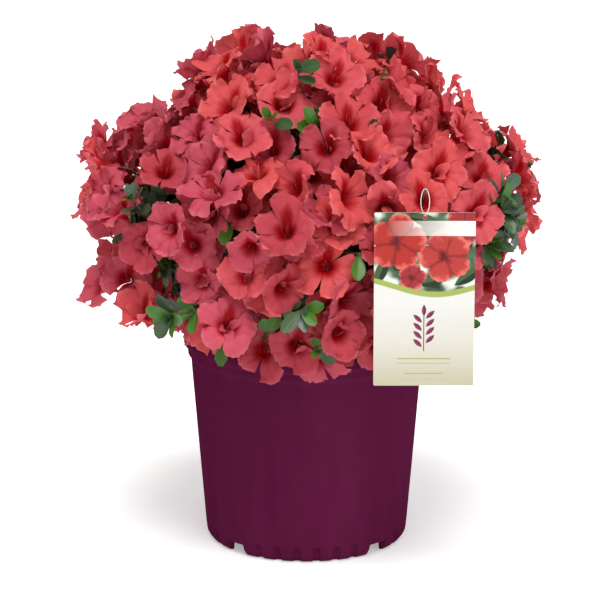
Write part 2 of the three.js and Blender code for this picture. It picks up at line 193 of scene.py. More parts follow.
def add_object(name, data):
    """Puts a mesh, a lamp or a camera in the scene."""
    made = bpy.data.objects.new(name, data)
    bpy.context.collection.objects.link(made)
    return made


class Batch:
    """Many small shapes that become one joined piece."""

    def __init__(self):
        self.points = []
        self.faces = []
        self.slots = []
        self.uvs = []
        self.count = 0

    def add(self, points, faces, slot=0, uv=None):
        """Points in millimetres, faces as tuples of their numbers, and one UV for each point."""
        self.points.append(points)
        self.faces.extend(tuple(i + self.count for i in face) for face in faces)
        self.slots.extend([slot] * len(faces))
        self.uvs.append(np.zeros((len(points), 2)) if uv is None else uv)
        self.count += len(points)

    def piece(self, name, materials, body="plant", smoothed=True):
        points = np.concatenate(self.points) * MM
        mesh = bpy.data.meshes.new(name)
        mesh.from_pydata(points.tolist(), [], self.faces)
        for material in materials:
            mesh.materials.append(material)
        mesh.polygons.foreach_set("material_index", self.slots)
        mesh.polygons.foreach_set("use_smooth", [smoothed] * len(mesh.polygons))
        layer = mesh.uv_layers.new(name="OFBake")
        corners = np.empty(len(mesh.loops), dtype=np.int32)
        mesh.loops.foreach_get("vertex_index", corners)
        layer.data.foreach_set("uv", np.concatenate(self.uvs)[corners].ravel())
        mesh.update()
        piece = add_object(name, mesh)
        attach(piece, body)
        return piece


def tube(path, radii, sides, closed=False):
    """Points and faces of a round tube along a path, with flat ends unless it is closed."""
    path = np.asarray(path, dtype=float)
    count = len(path)
    if closed:
        tangents = np.roll(path, -1, axis=0) - np.roll(path, 1, axis=0)
    else:
        tangents = np.gradient(path, axis=0)
    tangents /= np.linalg.norm(tangents, axis=1)[:, None]
    side = np.cross(tangents[0], UP if abs(tangents[0][2]) < 0.9 else np.array([1.0, 0.0, 0.0]))
    angles = 2 * math.pi * np.arange(sides) / sides
    rings = []
    for i in range(count):
        side = unit(side - tangents[i] * np.dot(side, tangents[i]))
        other = np.cross(tangents[i], side)
        ring = np.outer(np.cos(angles), side) + np.outer(np.sin(angles), other)
        rings.append(path[i] + radii[i] * ring)
    faces = grid_faces(count, sides, closed=True)
    last = (count - 1) * sides
    if closed:
        faces += [(last + k, last + (k + 1) % sides, (k + 1) % sides, k) for k in range(sides)]
    else:
        faces.append(tuple(reversed(range(sides))))
        faces.append(tuple(range(last, last + sides)))
    return np.concatenate(rings), faces


def bezier(start, control, end, steps):
    share = np.linspace(0, 1, steps + 1)[:, None]
    return (1 - share) ** 2 * start + 2 * share * (1 - share) * control + share**2 * end


def catmull(points, steps, closed=False):
    """A smooth curve through points, with the same number of steps between each two."""
    points = np.asarray(points, dtype=float)
    count = len(points)
    curve = []
    for i in range(count if closed else count - 1):
        places = [i + k for k in (-1, 0, 1, 2)]
        a, b, c, d = (points[k % count if closed else min(max(k, 0), count - 1)] for k in places)
        for t in np.arange(steps) / steps:
            bend = (2 * a - 5 * b + 4 * c - d) * t**2 + (3 * b - a - 3 * c + d) * t**3
            curve.append(0.5 * (2 * b + (c - a) * t + bend))
    if not closed:
        curve.append(points[-1])
    return np.array(curve)


# ---------------------------------------------------------------- materials


def linear(red, green, blue):
    """A screen colour, 0 to 255 each, as the shader takes it."""
    parts = [c / 255 for c in (red, green, blue)]
    return tuple(c / 12.92 if c < 0.04 else ((c + 0.055) / 1.055) ** 2.4 for c in parts) + (1.0,)


class Number:
    """A number that a shader works out. Arithmetic on it adds nodes."""

    def __init__(self, shader, socket):
        self.shader = shader
        self.socket = socket

    def __add__(self, other):
        return self.shader.math("ADD", self, other)

    def __sub__(self, other):
        return self.shader.math("SUBTRACT", self, other)

    def __rsub__(self, other):
        return self.shader.math("SUBTRACT", other, self)

    def __mul__(self, other):
        return self.shader.math("MULTIPLY", self, other)

    def __truediv__(self, other):
        return self.shader.math("DIVIDE", self, other)

    def __lt__(self, other):
        return self.shader.math("LESS_THAN", self, other)

    def __abs__(self):
        return self.shader.math("ABSOLUTE", self)

    def clamped(self):
        """The same number, kept between 0 and 1."""
        self.socket.node.use_clamp = True
        return self


class Shader:
    """A node tree built up by short calls, round one Principled shader."""

    def __init__(self, name):
        self.material = bpy.data.materials.new(name)
        self.material.use_nodes = True
        self.tree = self.material.node_tree
        self.bsdf = self.tree.nodes["Principled BSDF"]
        self.output = self.tree.nodes["Material Output"]

    def node(self, kind, **settings):
        node = self.tree.nodes.new(kind)
        for key, value in settings.items():
            setattr(node, key, value)
        return node

    def put(self, socket, value):
        """Links an output to a socket, or sets a plain value on it."""
        value = value.socket if isinstance(value, Number) else value
        if isinstance(value, bpy.types.NodeSocket):
            self.tree.links.new(value, socket)
        else:
            socket.default_value = value

    def math(self, operation, a, b=0.0):
        node = self.node("ShaderNodeMath", operation=operation)
        self.put(node.inputs[0], a)
        self.put(node.inputs[1], b)
        return Number(self, node.outputs[0])

    def mix(self, factor, a, b):
        node = self.node("ShaderNodeMix", data_type="RGBA")
        self.put(node.inputs["Factor"], factor)
        self.put(node.inputs["A"], a)
        self.put(node.inputs["B"], b)
        return node.outputs["Result"]

    def ramp(self, factor, stops):
        node = self.node("ShaderNodeValToRGB")
        elements = node.color_ramp.elements
        while len(elements) < len(stops):
            elements.new(0.5)
        for element, (place, colour) in zip(elements, stops):
            element.position = place
            element.color = colour
        self.put(node.inputs["Fac"], factor)
        return node.outputs["Color"]

    def noise(self, scale, detail, vector, roughness=0.5):
        node = self.node("ShaderNodeTexNoise")
        node.inputs["Scale"].default_value = scale
        node.inputs["Detail"].default_value = detail
        node.inputs["Roughness"].default_value = roughness
        self.put(node.inputs["Vector"], vector)
        return Number(self, node.outputs["Fac"])

    def place(self, stretch=(1, 1, 1)):
        node = self.node("ShaderNodeMapping")
        self.put(node.inputs["Vector"], self.node("ShaderNodeTexCoord").outputs["Object"])
        node.inputs["Scale"].default_value = stretch
        return node.outputs[0]

    def uv(self):
        """The two places on a small shape's own layout."""
        split = self.node("ShaderNodeSeparateXYZ")
        self.put(split.inputs[0], self.node("ShaderNodeUVMap", uv_map="OFBake").outputs["UV"])
        return Number(self, split.outputs["X"]), Number(self, split.outputs["Y"])

    def pair(self, x, y):
        join = self.node("ShaderNodeCombineXYZ")
        self.put(join.inputs["X"], x)
        self.put(join.inputs["Y"], y)
        return join.outputs[0]

    def bump(self, height, strength, distance):
        node = self.node("ShaderNodeBump")
        node.inputs["Strength"].default_value = strength
        node.inputs["Distance"].default_value = distance
        self.put(node.inputs["Height"], height)
        self.put(self.bsdf.inputs["Normal"], node.outputs["Normal"])

    def finish(self, colour, roughness, specular=0.5):
        self.put(self.bsdf.inputs["Base Color"], colour)
        self.bsdf.inputs["Roughness"].default_value = roughness
        self.bsdf.inputs["Specular IOR Level"].default_value = specular

    def glow(self, colour, share):
        """Lets some light through a thin petal or leaf."""
        thin = self.node("ShaderNodeBsdfTranslucent")
        self.put(thin.inputs["Color"], colour)
        both = self.node("ShaderNodeMixShader")
        both.inputs["Fac"].default_value = share
        self.put(both.inputs[1], self.bsdf.outputs[0])
        self.put(both.inputs[2], thin.outputs[0])
        self.put(self.output.inputs["Surface"], both.outputs[0])


def petal_material(name, face, edge, throat):
    """Coral lobes with fine veins, a deep red throat, and a streaked blotch on the upper lobe."""
    shader = Shader(name)
    u, v = shader.uv()
    upper = u < 0.5
    centred = shader.math("FRACT", u * 2) - 0.5
    across = abs(centred)
    veins = shader.noise(1.0, 3.0, shader.pair(u * 40, v * 2.4))
    streaks = (veins - 0.5) * 0.22
    reach = v + streaks
    reach = reach + across * 0.12
    ridge = (1 - across * 2.6).clamped()
    blotch = upper * (ridge * 0.3)
    reach = shader.math("MAXIMUM", reach - blotch, shader.math("MINIMUM", v, 0.3))
    half = tuple((2 * a + b) / 3 for a, b in zip(throat, face))
    deep = [(0.26, throat), (0.38, throat), (0.47, half)]
    colour = shader.ramp(reach, [(0.12, face), *deep, (0.58, face), (0.88, face), (1.0, edge)])
    vein_share = ((veins - 0.5).clamped() * 0.7).clamped()
    colour = shader.mix(vein_share, colour, throat)
    shader.finish(colour, 0.55, 0.16)
    shader.bump(veins, 0.3, 0.0007)
    shader.glow(colour, 0.34)
    return shader.material


def leaf_material(name, blade, rib, roughness):
    """A pale midrib and slanting side veins on the blade."""
    shader = Shader(name)
    u, v = shader.uv()
    across = abs(u - 0.5)
    slant = v * 9 - across * 5
    side = shader.math("PINGPONG", slant, 0.5)
    midrib = (1 - across * 26).clamped()
    lines = ((0.12 - side).clamped() * 3).clamped()
    colour = shader.mix(shader.math("MAXIMUM", midrib * 0.8, lines), blade, rib)
    shader.finish(colour, roughness)
    shader.bump(side + midrib, 0.35, 0.0006)
    shader.glow(colour, 0.12)
    return shader.material


def grainy_material(name, colour, roughness, grain=900.0, strength=0.15, spread=0.12):
    """One colour that varies a little over a fine grain."""
    shader = Shader(name)
    fine = shader.noise(grain, 3.0, shader.place())
    dark = tuple(c * (1 - spread * 2) for c in colour[:3]) + (1.0,)
    shader.finish(shader.mix(fine, dark, colour), roughness)
    shader.bump(fine, strength, 0.0004)
    return shader.material


def bark_material(name, light, dark, scale):
    """Ridges drawn out along the limb, dark between them."""
    shader = Shader(name)
    ridges = shader.noise(scale, 6.0, shader.place((1, 1, 0.3)), 0.65)
    shader.finish(shader.ramp(ridges, [(0.32, dark), (0.62, light)]), 0.85)
    shader.bump(ridges, 0.8, 0.0012)
    return shader.material


def pot_material():
    """Wine-coloured moulded plastic: faint flow lines, cloudy gloss and a fine moulded grain."""
    shader = Shader("pot_plastic")
    flow = shader.noise(22, 4.0, shader.place((1, 1, 0.12)))
    cloud = shader.noise(9, 3.0, shader.place())
    shader.finish(shader.ramp(flow, [(0.3, linear(76, 18, 49)), (0.7, linear(85, 25, 57))]), 0.42, 0.0)
    rough = shader.node("ShaderNodeMapRange")
    shader.put(rough.inputs["Value"], cloud)
    rough.inputs["To Min"].default_value = 0.4
    rough.inputs["To Max"].default_value = 0.52
    shader.put(shader.bsdf.inputs["Roughness"], rough.outputs[0])
    shader.bump(shader.noise(1400, 2.0, shader.place()), 0.05, 0.0003)
    return shader.material


# ---------------------------------------------------------------- the crown's rule

MASSES = [
    {
        "name": f"{name}_{i + 1}" if count > 1 else name,
        "toward": direction(turn + i * 360 / count, elevation),
        "height": height and height + (i % 2) * BOUGH_STAGGER,
        "shoots": [],
    }
    for name, count, elevation, turn, height in RINGS
    for i in range(count)
]


def swell(shape, at):
    height, elevation, spread = shape
    return height * math.exp(-(((at - elevation) / spread) ** 2))


def crown_radius(toward):
    """A flat-topped dome that sinks between its masses."""
    elevation = math.asin(min(1, toward[2])) / DEGREE
    angles = sorted(math.acos(np.clip(mass["toward"] @ toward, -1, 1)) / DEGREE for mass in MASSES)
    hang = HANG_PER_DEGREE * max(0, HANG_ELEVATION - elevation)
    edge = max(0, 1 - (angles[1] - angles[0]) / LOBE_EDGE)
    dome = CROWN_RADIUS + swell(BULGE, elevation) + swell(CREST, elevation)
    return dome - hang - LOBE_DIP * edge**2


def crown_point(toward, radius):
    return CROWN_CENTRE + toward * radius


def core_centre(mass):
    return crown_point(mass["toward"], crown_radius(mass["toward"]) * CORE_SHARE)


def dip(toward):
    """How far the outline draws in at a place."""
    total = 0.0
    rise = math.asin(np.clip(toward[2], -1, 1)) / DEGREE
    turn = math.atan2(toward[1], toward[0]) / DEGREE
    for azimuth, elevation, depth, wide, tall in DIPS:
        aside = ((turn - azimuth + 180) % 360 - 180) * math.cos(rise * DEGREE) / wide
        total += depth * math.exp(-(aside**2) - ((rise - elevation) / tall) ** 2)
    return total


def near(toward, spots, reach):
    return any(toward @ direction(*spot) > math.cos(reach * DEGREE) for spot in spots)


def nearest_mass(toward):
    return max(MASSES, key=lambda mass: mass["toward"] @ toward)


def lattice(count):
    """Azimuths and elevations a golden turn apart, evenly over the crown."""
    lowest = math.sin(LOWEST_ELEVATION * DEGREE)
    rises = [1 + (lowest - 1) * (i + 0.5) / count for i in range(count)]
    return [(i * GOLDEN_TURN, math.asin(rise) / DEGREE) for i, rise in enumerate(rises)]


TRUSS_MIDDLES = np.array([direction(*place) for place in lattice(TRUSSES)])


def gathered(toward):
    """A direction moved some way to the middle of its truss."""
    middle = TRUSS_MIDDLES[np.argmax(TRUSS_MIDDLES @ toward)]
    return unit(toward + (middle - toward) * GATHER)


def sway(draw, most):
    """How a shoot leans sideways, by up to so many degrees."""
    return direction(draw() * 360, 0) * math.tan(draw() * most * DEGREE)


def plot_shoots():
    """Shoots end all over the outline, a golden turn apart, each in the mass that it is nearest to."""
    draw = seeded(SHOOT_SEED)
    for azimuth, elevation in lattice(SHOOTS):
        azimuth += (draw() - 0.5) * TURN_JITTER
        elevation += (draw() - 0.5) * RISE_JITTER
        toward = gathered(direction(azimuth, elevation))
        radius = crown_radius(toward) - INSET - dip(toward) - draw() * DEPTH_JITTER
        leafy = draw() < LEAFY_SHARE and toward[1] > 0
        shoot = {"toward": toward, "radius": radius, "leafy": leafy, "tilt": sway(draw, TILT)}
        if near(toward, HOLLOWS, HOLLOW_REACH):
            shoot.update(leafy=True, radius=radius - HOLLOW_DEPTH)
        if not near(toward, (spot[:2] for spot in LEAFY_SPOTS), SPOT_REACH):
            nearest_mass(toward)["shoots"].append(shoot)
    for azimuth, elevation, rise in LEAFY_SPOTS:
        toward = direction(azimuth, elevation)
        radius = crown_radius(toward) - INSET - dip(toward) + rise
        shoot = {"toward": toward, "radius": radius, "leafy": True, "tilt": sway(draw, ROSETTE_TILT)}
        nearest_mass(toward)["shoots"].append(shoot)


ROOM_SIDE = LABEL_WIDTH / 2 + (LABEL_HANG + LABEL_HEIGHT) * math.sin(LABEL_SWING * DEGREE) + 2
ROOM_BACK = LABEL_PIVOT[1] + 4
ROOM_LOW = LABEL_PIVOT[2] - LABEL_HANG - LABEL_HEIGHT - 8
ROOM_HIGH = LABEL_PIVOT[2] + 8


def fits(points):
    """Whether growth keeps out of the pot and out of the air that the label swings in."""
    in_front = (points[:, 1] < ROOM_BACK) & (abs(points[:, 0] - LABEL_PIVOT[0]) < ROOM_SIDE)
    in_room = in_front & (points[:, 2] > ROOM_LOW) & (points[:, 2] < ROOM_HIGH)
    in_pot = (np.hypot(points[:, 0], points[:, 1]) < LIP_RADIUS + 1) & (points[:, 2] < POT_HEIGHT + 1)
    return not (in_room.any() or in_pot.any())


# ---------------------------------------------------------------- flowers

PETAL_PLACES = np.array([0.0, 0.2, 0.38, 0.5, 0.6, 0.7, 0.79, 0.87, 0.94, 1.0])
PETAL_COLUMNS = 17
FLOWER_KINDS = 26
ALONG = (0.0, 0.15, 0.3, 0.42, 0.5, 0.6, 0.75, 0.9, 1.0)  # places along a petal, root to tip
OPEN_REACH = (1.5, 3.0, 5.4, 9.0, 12.0, 15.8, 21.6, 27.4, 31.2)
OPEN_RISE = (-30.0, -22.5, -14.5, -9.0, -6.0, -3.2, -0.8, 0.0, 0.0)
SHUT_REACH = (1.5, 2.8, 4.6, 6.6, 8.4, 10.6, 13.6, 16.0, 17.5)
SHUT_RISE = (-30.0, -22.0, -13.5, -7.0, -2.4, 3.2, 11.0, 18.0, 22.0)
LOBE_ALONG = (0.4, 0.5, 0.6, 0.75, 0.9, 1.0)
LOBE_HALF = (7.0, 9.6, 12.2, 14.3, 14.0, 10.4)
BLOTCHED_U, PLAIN_U, HALF_LOBE_U = 0.005, 0.505, 0.245  # where lobes with and without a blotch are laid out
PETALOID_ROWS, PETALOID_COLUMNS = 8, 5
BUD_ROWS, BUD_SIDES = 9, 10


def petal(random, lobe, openness):
    """One ruffled lobe of the funnel: its points, row by row from the root, and their UVs."""
    u = np.linspace(-1, 1, PETAL_COLUMNS)[None, :]
    v = PETAL_PLACES[:, None]
    reach = through(ALONG, OPEN_REACH, v) * openness + through(ALONG, SHUT_REACH, v) * (1 - openness)
    rise = through(ALONG, OPEN_RISE, v) * openness + through(ALONG, SHUT_RISE, v) * (1 - openness)
    free = smooth(0.4, 0.62, v)
    tip = smooth(0.72, 1.0, v)
    size = random.uniform(0.88, 1.12)
    wide = through(LOBE_ALONG, LOBE_HALF, np.maximum(v, 0.4)) * random.uniform(0.88, 1.08)
    half = reach * (math.pi / 5) * 1.08 * (1 - free) + wide * free
    out = reach * (1 + (size - 1) * free) - 5.5 * tip * np.abs(u) ** 2.7

    # the edge is cut into small round scallops, three or four to a lobe
    beats = random.uniform(4.2, 6.4)
    out = out + random.uniform(0.9, 1.8) * tip * np.abs(np.sin(u * beats + random.uniform(0, math.pi)))
    side_beats = random.uniform(13, 18, 2)
    side_starts = random.uniform(0, math.pi, 2)
    left, right = (np.sin(v * side_beats[k] + side_starts[k]) ** 2 for k in (0, 1))
    half = half + 1.3 * smooth(0.55, 0.75, v) * np.where(u < 0, left, right) * np.abs(u) ** 4

    # ruffles, a crease down the middle, and a bend of the whole lobe
    phase = random.uniform(0, 2 * math.pi, 4)
    beat = random.uniform(14, 22, 2)
    side_phase = np.where(u < 0, phase[0], phase[1])
    side_beat = np.where(u < 0, beat[0], beat[1])
    wave = np.sin(v * side_beat + side_phase)
    ruffle = random.uniform(2.0, 4.6) * smooth(0.45, 0.8, v) * np.abs(u) ** 1.7 * wave
    frill = random.uniform(0.7, 1.6) * tip * np.sin(u * random.uniform(5, 8) + phase[2])
    crease = -1.5 * np.exp(-((u / 0.16) ** 2)) * smooth(0.35, 0.6, v) * (1 - 0.6 * tip)
    lapping = 1.7 * u * smooth(0.42, 0.65, v)
    curl = random.uniform(-11, 6) * smooth(0.5, 1.1, v) ** 1.6
    cup = random.uniform(-3.5, 3.5) * u**2 * smooth(0.5, 0.8, v)
    twist = random.uniform(-7, 7) * u * smooth(0.55, 1.0, v)
    crinkle = np.sin(u * random.uniform(6, 9) + phase[3]) * np.sin(v * random.uniform(20, 30) + phase[2])
    crinkle = 0.6 * smooth(0.5, 0.75, v) * crinkle
    z = rise + ruffle + frill + crinkle + crease + lapping + curl + cup + twist

    around = u * half / np.maximum(out, 2.0)
    x = (1 - free) * out * np.cos(around) + free * out
    y = (1 - free) * out * np.sin(around) + free * u * half
    angle = (lobe * 72 + 90) * DEGREE + random.uniform(-0.1, 0.1)
    cos, sin = math.cos(angle), math.sin(angle)
    points = np.stack([x * cos - y * sin, x * sin + y * cos, z], axis=-1)
    start = BLOTCHED_U if lobe == 0 else PLAIN_U
    uv = np.stack([start + (u + 1) * HALF_LOBE_U + 0 * v, v + 0 * u], axis=-1)
    return points.reshape(-1, 3), uv.reshape(-1, 2)


def petaloid(random):
    """A small curled petal that stands in the throat."""
    u = np.linspace(-1, 1, PETALOID_COLUMNS)[None, :]
    v = np.linspace(0, 1, PETALOID_ROWS)[:, None]
    length = random.uniform(16, 25)
    bend = random.uniform(0.1, 0.7) + random.uniform(-0.8, 2.2) * v**1.5
    x = np.cumsum(np.sin(bend), axis=0) * length / PETALOID_ROWS
    z = np.cumsum(np.cos(bend), axis=0) * length / PETALOID_ROWS
    half = random.uniform(4.2, 7.4) * np.sin(math.pi * (v * 0.82 + 0.12)) ** 0.8
    fold = random.uniform(0.0, 0.5)
    y = u * half
    x = x - fold * half * u**2
    angle = random.uniform(0, 2 * math.pi)
    cos, sin = math.cos(angle), math.sin(angle)
    points = np.stack([(x + 2) * cos - y * sin, (x + 2) * sin + y * cos, z - 17 + 0.4 * u], axis=-1)
    uv = np.stack([(u + 1) * HALF_LOBE_U + PLAIN_U + 0 * v, 0.45 + 0.5 * v + 0 * u], axis=-1)
    return points.reshape(-1, 3), grid_faces(PETALOID_ROWS, PETALOID_COLUMNS), uv.reshape(-1, 2)


def corolla(random, openness, petaloids):
    """All five lobes, and any small petals in the throat. The first lobe carries the blotch."""
    whole = Batch()
    lobe_faces = grid_faces(len(PETAL_PLACES), PETAL_COLUMNS)
    for lobe in range(5):
        points, uv = petal(random, lobe, openness)
        whole.add(points, lobe_faces, 0, uv)
    for _ in range(petaloids):
        points, faces, uv = petaloid(random)
        whole.add(points, faces, 0, uv)
    return np.concatenate(whole.points), whole.faces, np.concatenate(whole.uvs)


def stamens(random):
    """Filaments that rise from the throat and turn up, each with its anther; the last is the pistil."""
    parts = []
    for i in range(4):
        angle = random.uniform(0, 2 * math.pi)
        lean = np.array([math.cos(angle), math.sin(angle), 0]) * random.uniform(1.5, 5)
        rise = random.uniform(-6, 0) + (4 if i == 3 else 0)
        end = lean + np.array([0, 3.0, rise])
        path = bezier(lean * 0.3 + np.array([0, 0, -22.0]), lean + np.array([0, -3.0, -9.0]), end, 3)
        parts.append((*tube(path, [0.36, 0.32, 0.28, 0.22], 3), 0))
        anther = tube([end - UP * 0.7, end, end + UP * 0.6], [0.2, 0.5, 0.2], 3)
        parts.append((*anther, 1))
    return parts


def bud(random):
    """A furled bud: a spindle with a spiral twist."""
    length = random.uniform(17, 24)
    angles = 2 * math.pi * np.arange(BUD_SIDES) / BUD_SIDES
    rows = []
    for share in np.linspace(0, 1, BUD_ROWS):
        radius = 0.7 + 4.4 * math.sin(math.pi * min(share * 0.93 + 0.05, 1)) ** 0.9
        turn = angles + share * 1.8
        ridge = radius * (1 + 0.16 * np.cos(turn * 5 - share * 5))
        height = np.full(BUD_SIDES, -FLOWER_DEPTH + 4 + share * length)
        rows.append(np.stack([ridge * np.cos(turn), ridge * np.sin(turn), height], axis=-1))
    places = [(row, side) for row in range(BUD_ROWS) for side in range(BUD_SIDES)]
    uv = np.array([(PLAIN_U + 0.045 * side, 0.5 + 0.05 * row) for row, side in places])
    return np.concatenate(rows), grid_faces(BUD_ROWS, BUD_SIDES, closed=True), uv


# ---------------------------------------------------------------- leaves

LEAF_ALONG = (0.0, 0.2, 0.4, 0.6, 0.8, 1.0)
LEAF_HALF = (0.12, 0.5, 0.82, 1.0, 0.95, 0.36)  # outline from the stalk to the tip


def leaf_blade(random, columns):
    """A leaf of length 1 along +X, folded along its rib and arched, with its root at the origin."""
    u = np.linspace(-1, 1, columns)[None, :]
    v = np.array(LEAF_ALONG)[:, None]
    width = random.uniform(0.23, 0.3) * np.array(LEAF_HALF)[:, None]
    fold = random.uniform(0.1, 0.45)
    arch = random.uniform(-0.08, 0.3)
    twist = random.uniform(-0.5, 0.5)
    y = u * width * (1 - 0.15 * fold)
    z = np.abs(u) * width * fold - arch * v**2 + twist * u * width * v + 0.012 * np.sin(v * 14 + u * 3)
    points = np.stack([v + 0 * u, y, z], axis=-1).reshape(-1, 3)
    uv = np.stack([(u + 1) / 2 + 0 * v, v + 0 * u], axis=-1).reshape(-1, 2)
    return points, grid_faces(len(LEAF_ALONG), columns), uv


# ---------------------------------------------------------------- growing it

random = np.random.default_rng(7)
CORAL, RED, ROSE, BRIGHT, DEEP = range(5)
# the flank where flowers are dealt rosier, darker looks as painted shade
ROSY_SHADED_FLANK = direction(195, 5)
BUD_EVERY = 12
ROSY_SHADED_SHARE = 0.6  # how nearly a shoot points to that flank where flowers are rosier and carry painted shade
PETAL_REACH = 32  # from a flower's axis out to where no leaf comes through it
ROSETTE_REACH = 20  # the same for a rosette, which may push in between petals
FACE_MARGIN = 5  # behind a flower's face
UPPER_FROM, MIDDLE_FROM = 480, 350  # heights that part the flowers into three bands
LOW_GROWTH = 322  # shoots under this height carry fresher leaves and duller flowers, the duller flowers being painted shade
HIGH_GROWTH = 0.72  # shoots that point up more than this carry brighter flowers, as painted light
DARK, MID, FRESH, GREY = range(4)

flowers = {f"{band}_{side}": Batch() for band in ("upper", "middle", "lower") for side in ("front", "back")}
hearts = Batch()
buds = Batch()
leaves = {"leaves_outer": Batch(), "leaves_inner": Batch()}
twigs = Batch()
limbs = Batch()

COROLLAS = [
    corolla(random, openness, max(0, int(random.integers(-3, 5))))
    for openness in (0.5, 0.6, *np.linspace(0.78, 1.2, FLOWER_KINDS))
]
HEARTS = [stamens(random) for _ in range(6)]
BUDS = [bud(random) for _ in range(3)]
FINE_BLADES = [leaf_blade(random, 5) for _ in range(10)]
PLAIN_BLADES = [leaf_blade(random, 3) for _ in range(8)]


def pick(choices):
    return choices[random.integers(len(choices))]


def before_blossom(points, reach):
    """Whether growth would come through a flower or stand in front of its face, near its axis."""
    away = np.linalg.norm(flower_places - points.mean(axis=0), axis=1)
    close = away < reach + np.ptp(points, axis=0).max()
    if not close.any():
        return False
    rel = points[None, :, :] - flower_places[close][:, None, :]
    axes = flower_axes[close][:, None, :]
    height = (rel * axes).sum(axis=-1)
    across = np.linalg.norm(rel - height[..., None] * axes, axis=-1)
    face = np.interp(across, OPEN_REACH, OPEN_RISE)
    return bool(((across < reach) & (height > face - FACE_MARGIN) & (height < PETAL_REACH)).any())


def add_leaf(batch, root, along, up, length, green, blades, reach=PETAL_REACH):
    """A leaf whose rib runs along, and whose face looks up as far as it can."""
    points, faces, uv = pick(blades)
    x = unit(along)
    y = unit(np.cross(up, x))
    placed = root + (points * length) @ np.stack([x, y, np.cross(x, y)])
    if fits(placed) and not before_blossom(placed, reach):
        leaves[batch].add(placed, faces, green, uv)


def sideways(turn, degrees):
    """The way out from a shoot's side, at an angle about it."""
    angle = degrees * DEGREE
    return turn @ np.array([math.cos(angle), math.sin(angle), 0])


def whorl(place, turn, count, height, spread, length, greens, reach=PETAL_REACH):
    """Leaves round a shoot just under its end, a golden turn apart."""
    start = random.uniform(0, 360)
    for i in range(count):
        out = sideways(turn, start + i * GOLDEN_TURN)
        rise = (spread + random.uniform(-14, 14)) * DEGREE
        along = out * math.sin(rise) + turn[:, 2] * math.cos(rise)
        root = place + turn[:, 2] * (height - i * 1.6)
        size = length * random.uniform(0.75, 1.2)
        add_leaf("leaves_outer", root, along, turn[:, 2], size, pick(greens), FINE_BLADES, reach)


def dress_twig(path, count, low, high, length):
    """Leaves up a twig, a golden turn apart."""
    start = random.uniform(0, 360)
    for i in range(count):
        share = low + (high - low) * (i + 0.5) / count
        place = share * (len(path) - 1)
        step = min(int(place), len(path) - 2)
        root = path[step] + (path[step + 1] - path[step]) * (place - step)
        turn = turned(path[step + 1] - path[step])
        out = sideways(turn, start + i * GOLDEN_TURN)
        along = out + turn[:, 2] * random.uniform(0.2, 0.9)
        size = length * random.uniform(0.75, 1.15)
        add_leaf("leaves_inner", root, along, turn[:, 2], size, pick((DARK, DARK, MID)), PLAIN_BLADES)


def shoot_turn(shoot, tuck):
    straight = 1 - tuck / (TUCKS[-1] * 1.6)
    lean = np.array([shoot["tilt"][0] * straight, shoot["tilt"][1] * straight, 1.0])
    toward = shoot["toward"]
    outward = np.array([toward[0], toward[1], 0.0]) * OUTWARD * smooth(0.5, 0.9, toward[2])
    axis = unit(turned(toward) @ lean) + UP * 0.1 + outward
    return turned(axis, random.uniform(-0.5, 0.5))


def crowded(place, placed):
    return any(np.linalg.norm(place - other) < FLOWER_SPACING for other in placed)


def flower_batch(place):
    band = "upper" if place[2] > UPPER_FROM else "middle" if place[2] > MIDDLE_FROM else "lower"
    return flowers[band + ("_front" if place[1] < 0 else "_back")]


def petal_look(toward, place):
    """Flowers take brighter looks on top as painted light, rosier looks with painted shade on one flank,
    duller looks low down as painted shade, and mixed ones in between.
    """
    if toward[2] > HIGH_GROWTH:
        return pick((CORAL, RED, BRIGHT, ROSE))
    if toward @ ROSY_SHADED_FLANK > ROSY_SHADED_SHARE:
        return pick((ROSE, DEEP, ROSE, RED))
    if place[2] < LOW_GROWTH:
        return pick((RED, DEEP, ROSE, DEEP))
    return pick((CORAL, RED, ROSE, BRIGHT, CORAL, DEEP, BRIGHT))


def grow_flower(shoot, placed, axes):
    """Puts a flower at the shoot's end, drawn in until it has room, and keeps its root and frame."""
    for tuck in TUCKS:
        place = crown_point(shoot["toward"], shoot["radius"] - tuck)
        turn = shoot_turn(shoot, tuck)
        points, faces, uv = pick(COROLLAS)
        scale = random.uniform(0.93, 1.07)
        petals = place + (points * scale) @ turn.T
        if not fits(petals) or (crowded(place, placed) and tuck < TUCKS[-1]):
            continue
        flower_batch(place).add(petals, faces, petal_look(shoot["toward"], place), uv)
        for part, part_faces, kind in pick(HEARTS):
            hearts.add(place + (part * scale) @ turn.T, part_faces, kind)
        placed.append(place)
        axes.append(turn[:, 2])
        shoot["head"] = (place - turn[:, 2] * FLOWER_DEPTH * scale, turn)
        return


def grow_bud(root, turn):
    """A bud that leans out beside the flower, from the same root."""
    angle = random.uniform(0, 2 * math.pi)
    axis = turn[:, 2] + turn[:, 0] * math.cos(angle) * 0.7 + turn[:, 1] * math.sin(angle) * 0.7
    frame_of_bud = turned(axis)
    points, faces, uv = pick(BUDS)
    placed = root + frame_of_bud[:, 2] * FLOWER_DEPTH + points @ frame_of_bud.T
    if fits(placed):
        buds.add(placed, faces, pick((CORAL, RED, ROSE)), uv)
        stalk = [root, root + frame_of_bud[:, 2] * 5]
        twigs.add(*tube(stalk, [0.8, 0.7], 5))


def grow_twig(path, base, tip, sides=5):
    twigs.add(*tube(path, np.linspace(base, tip, len(path)), sides))


